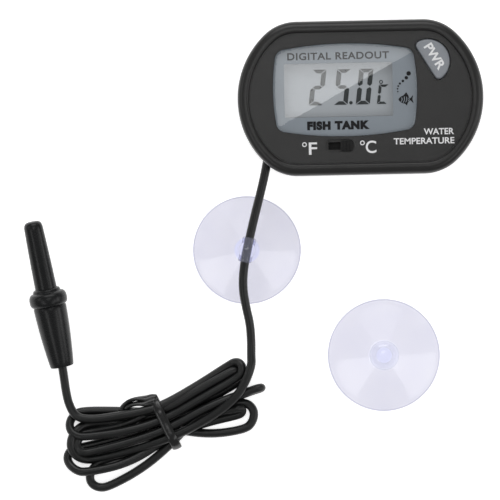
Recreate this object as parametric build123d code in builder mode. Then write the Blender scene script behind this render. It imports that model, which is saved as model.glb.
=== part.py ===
"""Digital aquarium thermometer: a display case, a corded probe and two suction cups.

Millimetres.  The thermometer lies on its back: +Z points out of the display, +X to the right of
someone reading it and +Y to the top of the display.  The origin is the centre of the case's back,
on the surface that everything lies on.
"""
from build123d import *
import math
import os

os.makedirs("parts", exist_ok=True)

# ---------------------------------------------------------------- driving dimensions
# Case shell
half_length = 29.0          # centre to the bowed ends
half_width = 18.2           # centre to the flat long sides
end_arc_radius = 20.9
corner_radius = 10.9
wall = 1.9
parting_z = 6.5
face_z = 15.2
rim_top_z = 16.0
roof_z = 12.9               # underside of the front cover's face
floor_top_z = 1.8
back_edge_radius = 2.0
rim_width = 2.7
rim_inner_radius = 0.6
groove_width, groove_depth = 0.35, 0.2
seam_chamfer = 0.25

# Window and display
window_x, window_y = -3.6, 1.9
window_half_length, window_half_width = 16.1, 9.4      # to the corners of the barrel shape
window_end_bulge, window_side_bulge = 0.9, 1.55
window_corner_radius = 2.4
window_gap = 0.15
window_seat_z = 13.85
tape_thickness = 0.1
mask_thickness = 0.1
window_top_z = 15.1
view_x, view_y = -5.15, 1.9
view_length, view_width = 25.6, 12.7
glass_length, front_glass_width, rear_glass_width = 30.0, 18.5, 15.6
glass_thickness = 0.8
glass_top_z = 12.7
holder_wall = 0.9

# Circuit board
board_bottom_z, board_top_z = 9.2, 10.2
board_half_length = 20.6

# Power button
button_x, button_y = 17.8, 9.3
button_turn = -58.6         # direction of the D's flat side, degrees
button_flat_length = 10.2
button_depth = 5.7
button_top_z = 15.9
button_clearance = 0.3
button_flange = 0.5
flange_bottom_z, flange_top_z = 12.3, 12.7
tact_top_z = 11.5
plunger_radius = 1.25

# Unit slider
slot_x, slot_y = -5.1, -11.3
slot_length, slot_width = 6.8, 3.1
slot_floor_z = 13.9
knob_length, knob_width = 2.9, 2.5
knob_x = slot_x + 1.6
stem_length, stem_width = 1.6, 1.2
slider_travel = 3.2
knob_ribs = 4

# Battery bay and door
cell_radius, cell_height = 5.8, 5.4
cell_spacing = 12.2
cell_y = -7.0
cell_bottom_z = 1.9
bay_top_z = 7.4
bay_half_length = 14.4
bay_low_y, bay_high_y = -14.2, 1.6
door_half_length = 12.7
door_high_y = 0.4
door_bottom_z, door_top_z = 0.2, 1.6
door_gap = 0.2
tongue = 0.7
tongue_low_z, tongue_high_z = 0.6, 1.1
strip_thickness = 0.3

# Screws
case_screw_spots = [(24.0, 5.5), (-24.0, 5.5), (-24.0, -5.5), (24.0, -5.5)]
case_boss_radius = 2.6
case_screw_head_radius, case_screw_radius = 1.8, 0.85
case_head_seat_z = 2.2
board_screw_spots = [(-17.0, -12.0), (16.5, -11.0), (-15.0, 13.9)]
board_screw_radius = 0.7
board_boss_radius = 1.6

# Socket in the back for a suction cup's mushroom head
socket_x, socket_y = 0.0, 8.5
socket_lip_radius, socket_radius = 2.5, 3.8
socket_lip_height, socket_depth = 1.2, 5.4

# Cord, probe and cups
cord_radius = 0.95
cord_hole_radius = 1.1
nub_hole_radius = 1.15
lay_z = cord_radius          # the cord's centre where it lies on the table

# Free stretch of the cord: out of the case, through the cup's nub, down and onto the hank.
lead_route = [
    (-21.1, -8.5, 6.5),
    (-29.1, -42.0, 6.4),
    (-28.3, -49.0, 4.2),
    (-27.1, -55.2, 2.2),
    (-26.8, -60.8, 2.2),
    (-27.4, -66.0, 3.2),
]
# From the hank to the probe's boot.
tail_route = [
    (-67.6, -75.1, 3.2),
    (-69.9, -71.9, 3.0),
    (-70.9, -68.1, 2.5),
    (-71.34, -64.55, 2.5),
    (-72.34, -59.10, 3.15),
]

# Hank: bent bundle of turns, with looser loops at both ends.
hank_height = 4.4
hank_outline = [
    (-72.3, -73.4), (-62.5, -70.6), (-44.0, -68.2), (-31.5, -60.2), (-26.3, -61.8),
    (-22.6, -67.9), (-26.4, -79.3), (-43.5, -80.4), (-59.5, -91.6), (-67.2, -91.2), (-72.9, -84.6),
]
hank_corner = 3.0
hank_edge = 1.2
tie_centre = (-47.9, -75.6)
tie_turn = 19.0              # direction of the bundle at the tie, degrees
tie_low, tie_high = -6.9, 6.5
tie_width, tie_thickness = 2.1, 0.5
tie_top_z = hank_height + tie_thickness
tie_ear_route = [(-0.4, 6.3), (-3.2, 7.0), (-5.6, 8.1), (-7.6, 7.6), (-9.0, 5.9)]
tie_ear_z = 2.2
tie_ear_radius = 0.75

# Probe: measured along its axis from the boot's rear end.
probe_rear = (-71.8, -62.03)
probe_tip = (-78.14, -27.49)
boot_rear_radius, boot_front_radius, boot_length = 2.8, 3.9, 14.6
collar_radius, collar_length = 4.6, 2.6
step_radius, step_length = 3.4, 0.8
sleeve_root_radius, sleeve_tip_radius = 2.55, 2.2
sleeve_tip_corner = 1.3
probe_length = 35.3
sleeve_bore_radius = 1.35
boot_bore_depth = 6.0

# Suction cups
cord_cup_x, cord_cup_y, cord_cup_radius = -27.52, -35.4, 12.9
loose_cup_x, loose_cup_y, loose_cup_radius = 4.2, -60.7, 13.4
cup_rim_height = 0.7
cup_shoulder_z = 4.0
cup_hollow_height = 2.3
cup_centre_wall_radius = 3.0
nub_radius, nub_top_z = 3.05, 9.3
nub_hole_z = 6.42
neck_radius, head_radius = 1.85, 3.5
head_bottom_z, head_top_z = 6.4, 9.4


# ---------------------------------------------------------------- shared shapes
def case_outline(inset=0.0):
    """The case from the front: flat long sides, bowed ends and round corners, shrunk by inset."""
    flat_end = half_length - end_arc_radius + math.sqrt(end_arc_radius**2 - half_width**2)
    with BuildSketch() as outline:
        with BuildLine():
            Line((-flat_end, half_width), (flat_end, half_width))
            ThreePointArc((flat_end, half_width), (half_length, 0), (flat_end, -half_width))
            Line((flat_end, -half_width), (-flat_end, -half_width))
            ThreePointArc((-flat_end, -half_width), (-half_length, 0), (-flat_end, half_width))
        make_face()
        fillet(outline.vertices(), corner_radius)
        if inset:
            offset(amount=-inset)
    return outline.sketch


def barrel_outline(grow=0.0):
    """The window: a rectangle with all four sides bowed outwards and small round corners."""
    x, y = window_half_length + grow, window_half_width + grow
    with BuildSketch() as outline:
        with BuildLine():
            ThreePointArc((-x, y), (0, y + window_side_bulge), (x, y))
            ThreePointArc((x, y), (x + window_end_bulge, 0), (x, -y))
            ThreePointArc((x, -y), (0, -y - window_side_bulge), (-x, -y))
            ThreePointArc((-x, -y), (-x - window_end_bulge, 0), (-x, y))
        make_face()
        fillet(outline.vertices(), window_corner_radius + grow)
    return Pos(window_x, window_y) * outline.sketch


def button_outline(grow=0.0):
    """The power button: a D whose flat side leans, with rounded ends."""
    half_flat = button_flat_length / 2 + grow
    with BuildSketch() as outline:
        with BuildLine():
            Line((-half_flat, -grow), (half_flat, -grow))
            ThreePointArc((half_flat, -grow), (0, button_depth + grow), (-half_flat, -grow))
        make_face()
        fillet(outline.vertices(), 1.1 + grow)
    shift = -button_depth * 0.46
    return Pos(button_x, button_y) * Rot(0, 0, button_turn) * Pos(0, shift) * outline.sketch


def rounded_route(points):
    """Straight runs joined by tangent arcs as large as each pair of runs allows."""
    corners = [Vector(*point) for point in points]
    radii = []
    for before, corner, after in zip(corners, corners[1:], corners[2:]):
        turn = math.radians((corner - before).get_angle(after - corner))
        shorter = min((corner - before).length, (after - corner).length)
        radii.append(0.45 * shorter / math.tan(turn / 2))
    return radii


def along(start, end, distance):
    """The point at a distance from start on the way to end."""
    way = (Vector(*end) - Vector(*start)).normalized()
    return Vector(*start) + way * distance


# ---------------------------------------------------------------- battery door
with BuildPart() as rear_shell:
    with BuildSketch():
        add(case_outline())
    extrude(amount=parting_z)
    back_edges = rear_shell.faces().sort_by(Axis.Z)[0].edges()
    fillet(back_edges, back_edge_radius)
    parting_edges = rear_shell.faces().sort_by(Axis.Z)[-1].edges()
    chamfer(parting_edges, seam_chamfer)

door_low_y = -half_width - 1.0
door_mid_y = (door_low_y + door_high_y) / 2
with BuildPart() as battery_door:
    with BuildSketch(Plane.XY.offset(door_bottom_z)):
        with Locations((0, door_mid_y)):
            Rectangle(2 * door_half_length, door_high_y - door_low_y)
    extrude(amount=door_top_z - door_bottom_z)
    with BuildSketch(Plane.XY.offset(tongue_low_z)):
        with Locations((0, -6.5)):
            Rectangle(2 * (door_half_length + tongue), 13.0)
    extrude(amount=tongue_high_z - tongue_low_z)
    add(rear_shell.part, mode=Mode.INTERSECT)
    # pocket for the bridge strip, and finger grooves underneath
    with BuildSketch(Plane.XY.offset(door_top_z)):
        with Locations((0, cell_y)):
            Rectangle(21.0, 5.0)
    extrude(amount=-strip_thickness, mode=Mode.SUBTRACT)
    with BuildSketch(Plane.XY.offset(door_bottom_z)):
        with GridLocations(0, 1.5, 1, 4):
            with Locations((0, -12.6)):
                SlotOverall(9.0, 0.7)
    extrude(amount=0.35, mode=Mode.SUBTRACT)
battery_door.part.label = "battery_door"

with BuildPart() as battery_bridge:
    with BuildSketch(Plane.XY.offset(door_top_z - strip_thickness)):
        with Locations((0, cell_y)):
            RectangleRounded(20.8, 4.8, 1.0)
            for side in (-1, 1):
                with Locations((side * cell_spacing / 2, 0)):
                    Circle(0.6, mode=Mode.SUBTRACT)
    extrude(amount=strip_thickness)
battery_bridge.part.label = "battery_bridge"

# ---------------------------------------------------------------- rear cover
cord_way = (Vector(*lead_route[1]) - Vector(*lead_route[0])).normalized()
with BuildPart() as cord_passage:
    with BuildSketch(Plane(origin=along(lead_route[0], lead_route[1], 3.2), z_dir=cord_way)):
        Circle(cord_hole_radius)
    extrude(amount=10.0)

with BuildPart() as rear_cover:
    add(rear_shell.part)
    with BuildSketch(Plane.XY.offset(floor_top_z)):
        add(case_outline(wall))
    extrude(amount=parting_z, mode=Mode.SUBTRACT)
    # battery bay, screw columns and cup socket
    with BuildSketch(Plane.XY.offset(floor_top_z)):
        with Locations((0, (bay_low_y + bay_high_y) / 2)):
            Rectangle(2 * bay_half_length, bay_high_y - bay_low_y)
    extrude(amount=bay_top_z - floor_top_z)
    with BuildSketch(Plane.XY.offset(floor_top_z)):
        with Locations(*case_screw_spots):
            Circle(case_boss_radius)
    extrude(amount=parting_z - floor_top_z)
    with BuildSketch(Plane.XY.offset(floor_top_z)):
        with Locations((socket_x, socket_y)):
            Circle(socket_radius + 1.2)
    extrude(amount=socket_depth + 1.2 - floor_top_z)
    # the two cells' wells go right through to the door
    with BuildSketch():
        with Locations((0, cell_y)):
            with GridLocations(cell_spacing, 0, 2, 1):
                Circle(cell_radius + 0.15)
            Rectangle(cell_spacing, 2 * cell_radius - 3.0)
    extrude(amount=bay_top_z + 1.0, mode=Mode.SUBTRACT)
    # way for the door and its tongues, open at the bottom edge of the case
    with BuildSketch():
        with Locations((0, door_mid_y + door_gap / 2)):
            Rectangle(2 * (door_half_length + door_gap), door_high_y - door_low_y + door_gap)
    extrude(amount=floor_top_z, mode=Mode.SUBTRACT)
    with BuildSketch(Plane.XY.offset(tongue_low_z - 0.1)):
        with Locations((0, door_mid_y + door_gap / 2)):
            Rectangle(2 * (door_half_length + tongue + door_gap), door_high_y - door_low_y + door_gap)
    extrude(amount=tongue_high_z - tongue_low_z + 0.2, mode=Mode.SUBTRACT)
    # socket, with the lip that holds a mushroom head
    with BuildSketch(Plane.XY.offset(socket_lip_height)):
        with Locations((socket_x, socket_y)):
            Circle(socket_radius)
    extrude(amount=socket_depth - socket_lip_height, mode=Mode.SUBTRACT)
    with BuildSketch():
        with Locations((socket_x, socket_y)):
            Circle(socket_lip_radius)
    extrude(amount=socket_lip_height, mode=Mode.SUBTRACT)
    # screw clearance holes and their counterbores
    with BuildSketch():
        with Locations(*case_screw_spots):
            Circle(1.1)
    extrude(amount=parting_z, mode=Mode.SUBTRACT)
    with BuildSketch():
        with Locations(*case_screw_spots):
            Circle(case_screw_head_radius + 0.2)
    extrude(amount=case_head_seat_z, mode=Mode.SUBTRACT)
    add(cord_passage.part, mode=Mode.SUBTRACT)
rear_cover.part.label = "rear_cover"

# ---------------------------------------------------------------- front cover
with BuildPart() as front_cover:
    with BuildSketch(Plane.XY.offset(parting_z)):
        add(case_outline())
    extrude(amount=rim_top_z - parting_z)
    fillet(front_cover.faces().sort_by(Axis.Z)[-1].edges(), 1.7)
    chamfer(front_cover.faces().sort_by(Axis.Z)[0].edges(), seam_chamfer)
    # sunk face inside the rounded rim, with the fine groove that frames it
    with BuildSketch(Plane.XY.offset(face_z)):
        add(case_outline(rim_width))
    extrude(amount=rim_top_z, mode=Mode.SUBTRACT)
    fillet(front_cover.faces().sort_by(Axis.Z)[-1].inner_wires().edges(), rim_inner_radius)
    with BuildSketch(Plane.XY.offset(face_z)):
        add(case_outline(rim_width))
        add(case_outline(rim_width + groove_width), mode=Mode.SUBTRACT)
    extrude(amount=-groove_depth, mode=Mode.SUBTRACT)
    # hollow inside
    with BuildSketch(Plane.XY.offset(parting_z)):
        add(case_outline(wall))
    extrude(amount=roof_z - parting_z, mode=Mode.SUBTRACT)
    # bosses for the case screws and the board screws
    with BuildSketch(Plane.XY.offset(parting_z)):
        with Locations(*case_screw_spots):
            Circle(case_boss_radius)
            Circle(case_screw_radius + 0.02, mode=Mode.SUBTRACT)
    extrude(amount=roof_z - parting_z)
    with BuildSketch(Plane.XY.offset(board_top_z)):
        with Locations(*board_screw_spots):
            Circle(board_boss_radius)
            Circle(board_screw_radius + 0.02, mode=Mode.SUBTRACT)
    extrude(amount=roof_z - board_top_z)
    # window seat and the opening that the display is seen through
    with BuildSketch(Plane.XY.offset(window_seat_z)):
        add(barrel_outline(window_gap))
    extrude(amount=rim_top_z, mode=Mode.SUBTRACT)
    with BuildSketch(Plane.XY.offset(roof_z)):
        with Locations((view_x, view_y)):
            RectangleRounded(view_length + 1.4, view_width + 1.4, 0.6)
    extrude(amount=rim_top_z, mode=Mode.SUBTRACT)
    # power button opening
    with BuildSketch(Plane.XY.offset(roof_z)):
        add(button_outline(button_clearance))
    extrude(amount=rim_top_z, mode=Mode.SUBTRACT)
    # slider recess and the narrower slot for its stem
    with BuildSketch(Plane.XY.offset(slot_floor_z)):
        with Locations((slot_x, slot_y)):
            RectangleRounded(slot_length, slot_width, 1.3)
    extrude(amount=rim_top_z, mode=Mode.SUBTRACT)
    with BuildSketch(Plane.XY.offset(roof_z)):
        with Locations((slot_x, slot_y)):
            Rectangle(slider_travel + stem_length + 0.6, stem_width + 0.6)
    extrude(amount=rim_top_z, mode=Mode.SUBTRACT)
    add(cord_passage.part, mode=Mode.SUBTRACT)
front_cover.part.label = "front_cover"

# ---------------------------------------------------------------- window
with BuildPart() as window_tape:
    with BuildSketch(Plane.XY.offset(window_seat_z)):
        add(barrel_outline())
        with Locations((view_x, view_y)):
            RectangleRounded(view_length + 1.4, view_width + 1.4, 0.6, mode=Mode.SUBTRACT)
    extrude(amount=tape_thickness)
window_tape.part.label = "window_tape"

mask_z = window_seat_z + tape_thickness
with BuildPart() as window_mask:
    with BuildSketch(Plane.XY.offset(mask_z)):
        add(barrel_outline())
        with Locations((view_x, view_y)):
            RectangleRounded(view_length, view_width, 0.4, mode=Mode.SUBTRACT)
    extrude(amount=mask_thickness)
window_mask.part.label = "window_mask"

window_bottom_z = mask_z + mask_thickness
with BuildPart() as display_window:
    with BuildSketch(Plane.XY.offset(window_bottom_z)):
        add(barrel_outline())
    extrude(amount=window_top_z - window_bottom_z)
    chamfer(display_window.faces().sort_by(Axis.Z)[-1].edges(), 0.2)
display_window.part.label = "display_window"

# ---------------------------------------------------------------- display
glass_y = view_y
rear_glass_y = glass_y + (front_glass_width - rear_glass_width) / 2
front_glass_z = glass_top_z - glass_thickness
rear_glass_z = front_glass_z - glass_thickness
reflector_thickness = 0.2

with BuildPart() as lcd_front_glass:
    with BuildSketch(Plane.XY.offset(front_glass_z)):
        with Locations((view_x, glass_y)):
            Rectangle(glass_length, front_glass_width)
    extrude(amount=glass_thickness)
    chamfer(lcd_front_glass.edges().filter_by(Axis.Z), 0.3)
lcd_front_glass.part.label = "lcd_front_glass"

with BuildPart() as lcd_rear_glass:
    with BuildSketch(Plane.XY.offset(rear_glass_z)):
        with Locations((view_x, rear_glass_y)):
            Rectangle(glass_length, rear_glass_width)
    extrude(amount=glass_thickness)
    chamfer(lcd_rear_glass.edges().filter_by(Axis.Z), 0.3)
lcd_rear_glass.part.label = "lcd_rear_glass"

with BuildPart() as lcd_reflector:
    with BuildSketch(Plane.XY.offset(rear_glass_z - reflector_thickness)):
        with Locations((view_x, rear_glass_y)):
            Rectangle(glass_length - 1.0, rear_glass_width - 0.6)
    extrude(amount=reflector_thickness)
lcd_reflector.part.label = "lcd_reflector"

zebra_y = glass_y - front_glass_width / 2 + 1.3
with BuildPart() as zebra_strip:
    with BuildSketch(Plane.XY.offset(board_top_z)):
        with Locations((view_x, zebra_y)):
            RectangleRounded(27.0, 1.6, 0.3)
    extrude(amount=front_glass_z - board_top_z)
zebra_strip.part.label = "zebra_strip"

with BuildPart() as lcd_holder:
    with BuildSketch(Plane.XY.offset(board_top_z)):
        with Locations((view_x, glass_y)):
            Rectangle(glass_length + 2 * holder_wall, front_glass_width + 2 * holder_wall)
            Rectangle(glass_length + 0.2, front_glass_width + 0.2, mode=Mode.SUBTRACT)
    extrude(amount=glass_top_z - board_top_z)
    fillet(lcd_holder.edges().filter_by(Axis.Z).group_by(Axis.X)[0], 0.6)
    fillet(lcd_holder.edges().filter_by(Axis.Z).group_by(Axis.X)[-1], 0.6)
lcd_holder.part.label = "lcd_holder"

# ---------------------------------------------------------------- circuit board and what is on it
with BuildPart() as circuit_board:
    with BuildSketch(Plane.XY.offset(board_bottom_z)):
        add(case_outline(wall + 0.7))
        Rectangle(2 * board_half_length, 2 * half_width, mode=Mode.INTERSECT)
        with Locations(*board_screw_spots):
            Circle(board_screw_radius + 0.15, mode=Mode.SUBTRACT)
    extrude(amount=board_top_z - board_bottom_z)
circuit_board.part.label = "circuit_board"

blob_x, blob_y, blob_radius, blob_height = -9.5, 8.5, 4.6, 1.3
blob_sphere = (blob_radius**2 + blob_height**2) / (2 * blob_height)
with BuildPart() as controller_blob:
    with BuildSketch(Plane.XZ.offset(-blob_y)):
        with BuildLine():
            Line((blob_x, board_bottom_z), (blob_x + blob_radius, board_bottom_z))
            CenterArc(
                (blob_x, board_bottom_z - blob_height + blob_sphere),
                blob_sphere,
                -90,
                math.degrees(math.asin(blob_radius / blob_sphere)),
            )
            Line((blob_x, board_bottom_z - blob_height), (blob_x, board_bottom_z))
        make_face()
    revolve(axis=Axis((blob_x, blob_y, 0), (0, 0, 1)))
controller_blob.part.label = "controller_blob"

crystal_radius, crystal_length = 1.0, 6.0
with BuildPart() as timing_crystal:
    with BuildSketch(Plane.YZ.offset(8.0)):
        with Locations((12.2, board_bottom_z - crystal_radius)):
            Circle(crystal_radius)
    extrude(amount=crystal_length)
    fillet(timing_crystal.edges().filter_by(GeomType.CIRCLE), 0.3)
timing_crystal.part.label = "timing_crystal"

chip_height = 0.6
with BuildPart() as chip_parts:
    with BuildSketch(Plane.XY.offset(board_bottom_z - chip_height)):
        with Locations((-14.6, 1.2)):
            with GridLocations(0, 2.4, 1, 3):
                Rectangle(1.6, 0.9)
        with Locations((16.8, 3.4)):
            with GridLocations(2.6, 0, 3, 1):
                Rectangle(0.9, 1.6)
    extrude(amount=chip_height)
chip_parts.part.label = "chip_parts"

# ---------------------------------------------------------------- power button and its switch
with BuildPart() as power_button:
    with BuildSketch(Plane.XY.offset(flange_top_z)):
        add(button_outline())
    extrude(amount=button_top_z - flange_top_z)
    fillet(power_button.faces().sort_by(Axis.Z)[-1].edges(), 0.5)
    with BuildSketch(Plane.XY.offset(flange_bottom_z)):
        add(button_outline(button_flange))
    extrude(amount=flange_top_z - flange_bottom_z)
power_button.part.label = "power_button"

with BuildPart() as switch_plunger:
    with BuildSketch(Plane.XY.offset(tact_top_z - 0.2)):
        with Locations((button_x, button_y)):
            Circle(plunger_radius)
    extrude(amount=flange_bottom_z - tact_top_z + 0.2)
switch_plunger.part.label = "switch_plunger"

tact_size = 4.5
with BuildPart() as tact_switch:
    with BuildSketch(Plane.XY.offset(board_top_z)):
        with Locations((button_x, button_y)):
            RectangleRounded(tact_size, tact_size, 0.5)
    extrude(amount=tact_top_z - board_top_z)
    with BuildSketch(Plane.XY.offset(tact_top_z)):
        with Locations((button_x, button_y)):
            Circle(plunger_radius + 0.1)
    extrude(amount=-0.85, mode=Mode.SUBTRACT)
tact_switch.part.label = "tact_switch"

# ---------------------------------------------------------------- unit slider and its switch
housing_top_z = roof_z - 0.2
stem_bottom_z = 11.2
with BuildPart() as slide_switch_housing:
    with BuildSketch(Plane.XY.offset(board_top_z)):
        with Locations((slot_x, slot_y)):
            Rectangle(8.6, 3.8)
    extrude(amount=housing_top_z - board_top_z)
    with BuildSketch(Plane.XY.offset(stem_bottom_z - 0.2)):
        with Locations((slot_x, slot_y)):
            Rectangle(slider_travel + stem_length + 0.6, stem_width + 0.6)
    extrude(amount=housing_top_z, mode=Mode.SUBTRACT)
slide_switch_housing.part.label = "slide_switch_housing"

knob_bottom_z, knob_top_z = slot_floor_z + 0.15, face_z - 0.05
rib_gap = knob_length / knob_ribs
with BuildPart() as unit_slider:
    with BuildSketch(Plane.XY.offset(stem_bottom_z)):
        with Locations((knob_x, slot_y)):
            Rectangle(stem_length, stem_width)
    extrude(amount=knob_bottom_z - stem_bottom_z)
    with BuildSketch(Plane.XY.offset(knob_bottom_z)):
        with Locations((knob_x, slot_y)):
            RectangleRounded(knob_length, knob_width, 0.5)
    extrude(amount=knob_top_z - knob_bottom_z)
    with BuildSketch(Plane.XY.offset(knob_top_z)):
        with Locations((knob_x, slot_y)):
            with GridLocations(rib_gap, 0, knob_ribs - 1, 1):
                Rectangle(0.3, knob_width)
    extrude(amount=-0.4, mode=Mode.SUBTRACT)
unit_slider.part.label = "unit_slider"

# ---------------------------------------------------------------- cells and contacts
def button_cell(x):
    """One button cell: a can with a slightly smaller negative cap, which faces the door."""
    cap_height = 0.5
    with BuildPart() as cell:
        with BuildSketch(Plane.XY.offset(cell_bottom_z)):
            with Locations((x, cell_y)):
                Circle(cell_radius - 0.7)
        extrude(amount=cap_height)
        with BuildSketch(Plane.XY.offset(cell_bottom_z + cap_height)):
            with Locations((x, cell_y)):
                Circle(cell_radius)
        extrude(amount=cell_height - cap_height)
        fillet(cell.faces().sort_by(Axis.Z)[-1].edges(), 0.4)
    return cell.part


def contact_strip(x):
    """A sprung strip over one cell, with a leg up to the board."""
    with BuildPart() as strip:
        with BuildSketch(Plane.XY.offset(bay_top_z)):
            with Locations((x, (bay_low_y + bay_high_y) / 2)):
                Rectangle(5.0, bay_high_y - bay_low_y - 0.6)
        extrude(amount=strip_thickness)
        with BuildSketch(Plane.XY.offset(bay_top_z + strip_thickness)):
            with Locations((x, bay_high_y - 0.5)):
                Rectangle(2.0, strip_thickness)
        extrude(amount=board_bottom_z - bay_top_z - strip_thickness)
    return strip.part


cells = {"battery_cell_left": -1, "battery_cell_right": 1}
contacts = {"contact_positive": -1, "contact_negative": 1}
electrics = {}
for name, side in cells.items():
    electrics[name] = button_cell(side * cell_spacing / 2)
for name, side in contacts.items():
    electrics[name] = contact_strip(side * cell_spacing / 2)
for name, piece in electrics.items():
    piece.label = name

# ---------------------------------------------------------------- screws
with BuildPart() as case_screws:
    with BuildSketch(Plane.XY.offset(case_head_seat_z - 1.3)):
        with Locations(*case_screw_spots):
            Circle(case_screw_head_radius)
    extrude(amount=1.3)
    with BuildSketch(Plane.XY.offset(case_head_seat_z)):
        with Locations(*case_screw_spots):
            Circle(case_screw_radius)
    extrude(amount=8.3)
    with BuildSketch(Plane.XY.offset(case_head_seat_z - 1.3)):
        with Locations(*case_screw_spots):
            Rectangle(2.2, 0.5)
            Rectangle(0.5, 2.2)
    extrude(amount=0.7, mode=Mode.SUBTRACT)
case_screws.part.label = "case_screws"

with BuildPart() as board_screws:
    with BuildSketch(Plane.XY.offset(board_bottom_z - 0.9)):
        with Locations(*board_screw_spots):
            Circle(1.4)
    extrude(amount=0.9)
    with BuildSketch(Plane.XY.offset(board_bottom_z)):
        with Locations(*board_screw_spots):
            Circle(board_screw_radius)
    extrude(amount=roof_z - board_bottom_z - 0.6)
    with BuildSketch(Plane.XY.offset(board_bottom_z - 0.9)):
        with Locations(*board_screw_spots):
            Rectangle(1.8, 0.4)
            Rectangle(0.4, 1.8)
    extrude(amount=0.5, mode=Mode.SUBTRACT)
board_screws.part.label = "board_screws"

# ---------------------------------------------------------------- hank, tie and cord
tie_plane = Plane(origin=(*tie_centre, 0), x_dir=(math.cos(math.radians(tie_turn)),
                                                  math.sin(math.radians(tie_turn)), 0))
ear_points = [tie_plane.from_local_coords((s, n, tie_ear_z)) for s, n in tie_ear_route]
tie_section = Plane(origin=(*tie_centre, 0), x_dir=tie_plane.y_dir, z_dir=tie_plane.x_dir)
with BuildPart() as cord_tie:
    with BuildSketch(tie_section):
        with Locations(((tie_low + tie_high) / 2, tie_top_z / 2)):
            RectangleRounded(tie_high - tie_low, tie_top_z, 1.8)
            RectangleRounded(tie_high - tie_low - 2 * tie_thickness, tie_top_z - 2 * tie_thickness,
                             1.3, mode=Mode.SUBTRACT)
    extrude(amount=tie_width / 2, both=True)
    with BuildLine() as ear_line:
        FilletPolyline(*ear_points, radius=rounded_route([tuple(point) for point in ear_points]))
    with BuildSketch(Plane(origin=ear_line.line @ 0, z_dir=ear_line.line % 0)):
        Circle(tie_ear_radius)
    sweep(path=ear_line.line)
cord_tie.part.label = "cord_tie"

with BuildPart() as cord_hank:
    with BuildSketch() as bundle:
        with BuildLine():
            Polyline(*hank_outline, close=True)
        make_face()
        fillet(bundle.vertices(), hank_corner)
    extrude(amount=hank_height)
    fillet(cord_hank.faces().sort_by(Axis.Z)[-1].edges(), hank_edge)
    add(cord_tie.part, mode=Mode.SUBTRACT)
cord_hank.part.label = "cord_hank"


def cord_tube(route, name):
    """A round cord along the route, trimmed where it goes into the hank."""
    radii = rounded_route(route)
    print(name, "corner radii:", [round(radius, 1) for radius in radii])
    with BuildPart() as tube:
        with BuildLine() as line:
            FilletPolyline(*route, radius=radii)
        with BuildSketch(Plane(origin=line.line @ 0, z_dir=line.line % 0)):
            Circle(cord_radius)
        sweep(path=line.line)
        length = sum(edge.length for edge in line.edges())
        section = math.pi * cord_radius**2
        print(name, "length", round(length, 1), "volume / (section x length):",
              round(tube.part.volume / (section * length), 4))
        add(cord_hank.part, mode=Mode.SUBTRACT)
    return tube.part


cord_lead = cord_tube(lead_route, "cord_lead")
cord_lead.label = "cord_lead"
cord_tail = cord_tube(list(reversed(tail_route)), "cord_tail")
cord_tail.label = "cord_tail"

# ---------------------------------------------------------------- cord stop and conductors
stop_plane = Plane(origin=along(lead_route[0], lead_route[1], 0.6), z_dir=cord_way)
with BuildPart() as cord_stop_collar:
    with BuildSketch(stop_plane):
        Circle(cord_radius + 0.9)
        Circle(cord_radius, mode=Mode.SUBTRACT)
    extrude(amount=2.4)
    fillet(cord_stop_collar.edges().filter_by(GeomType.CIRCLE).sort_by(SortBy.RADIUS)[-2:], 0.3)
cord_stop_collar.part.label = "cord_stop_collar"

wire_radius = 0.3
with BuildPart() as cord_conductors:
    for side in (-1, 1):
        start_x = lead_route[0][0] + side * 0.42
        pad_x = -18.4 + side * 1.3
        wire_route = [
            (start_x, lead_route[0][1] - 0.3, parting_z),
            (start_x + 0.7, -6.6, parting_z),
            (pad_x, -3.4, 7.4),
            (pad_x, -2.0, board_bottom_z),
        ]
        with BuildLine() as wire_line:
            FilletPolyline(*wire_route, radius=rounded_route(wire_route))
        with BuildSketch(Plane(origin=wire_line.line @ 0, z_dir=wire_line.line % 0)):
            Circle(wire_radius)
        sweep(path=wire_line.line)
    add(circuit_board.part, mode=Mode.SUBTRACT)
    add(cord_lead, mode=Mode.SUBTRACT)
cord_conductors.part.label = "cord_conductors"

# ---------------------------------------------------------------- probe
# The probe rests on its collar and on the boot's rear end, so its tip is tilted up.
lift = math.asin((collar_radius - boot_rear_radius) / (boot_length + collar_length / 2))
flat_way = (Vector(*probe_tip) - Vector(*probe_rear)).normalized()
probe_way = flat_way * math.cos(lift) + Vector(0, 0, 1) * math.sin(lift)
probe_side = flat_way.cross(Vector(0, 0, 1))
probe_origin = Vector(*probe_rear, boot_rear_radius * math.cos(lift) + 0.02)
# local x runs along the probe, local y points across it
probe_plane = Plane(origin=probe_origin, x_dir=probe_way, z_dir=probe_way.cross(probe_side))
probe_axis = Axis(probe_origin, probe_way)
collar_start, collar_end = boot_length, boot_length + collar_length
step_end = collar_end + step_length
sleeve_start = boot_bore_depth + 4.0

with BuildPart() as probe_boot:
    with BuildSketch(probe_plane):
        with BuildLine():
            Line((0, 0), (0, boot_rear_radius))
            Line((0, boot_rear_radius), (collar_start, boot_front_radius))
            Line((collar_start, boot_front_radius), (collar_start, collar_radius - 1.1))
            ThreePointArc(
                (collar_start, collar_radius - 1.1),
                (collar_start + collar_length / 2, collar_radius),
                (collar_end, collar_radius - 1.1),
            )
            Line((collar_end, collar_radius - 1.1), (step_end, step_radius - 0.4))
            Line((step_end, step_radius - 0.4), (step_end, 0))
            Line((step_end, 0), (0, 0))
        make_face()
    revolve(axis=probe_axis)
    with BuildSketch(Plane(origin=probe_origin, z_dir=probe_way)):
        Circle(cord_radius)
    extrude(amount=sleeve_start, mode=Mode.SUBTRACT)
    with BuildSketch(Plane(origin=probe_origin + probe_way * sleeve_start, z_dir=probe_way)):
        Circle(sleeve_root_radius)
    extrude(amount=probe_length, mode=Mode.SUBTRACT)
probe_boot.part.label = "probe_boot"

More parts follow.
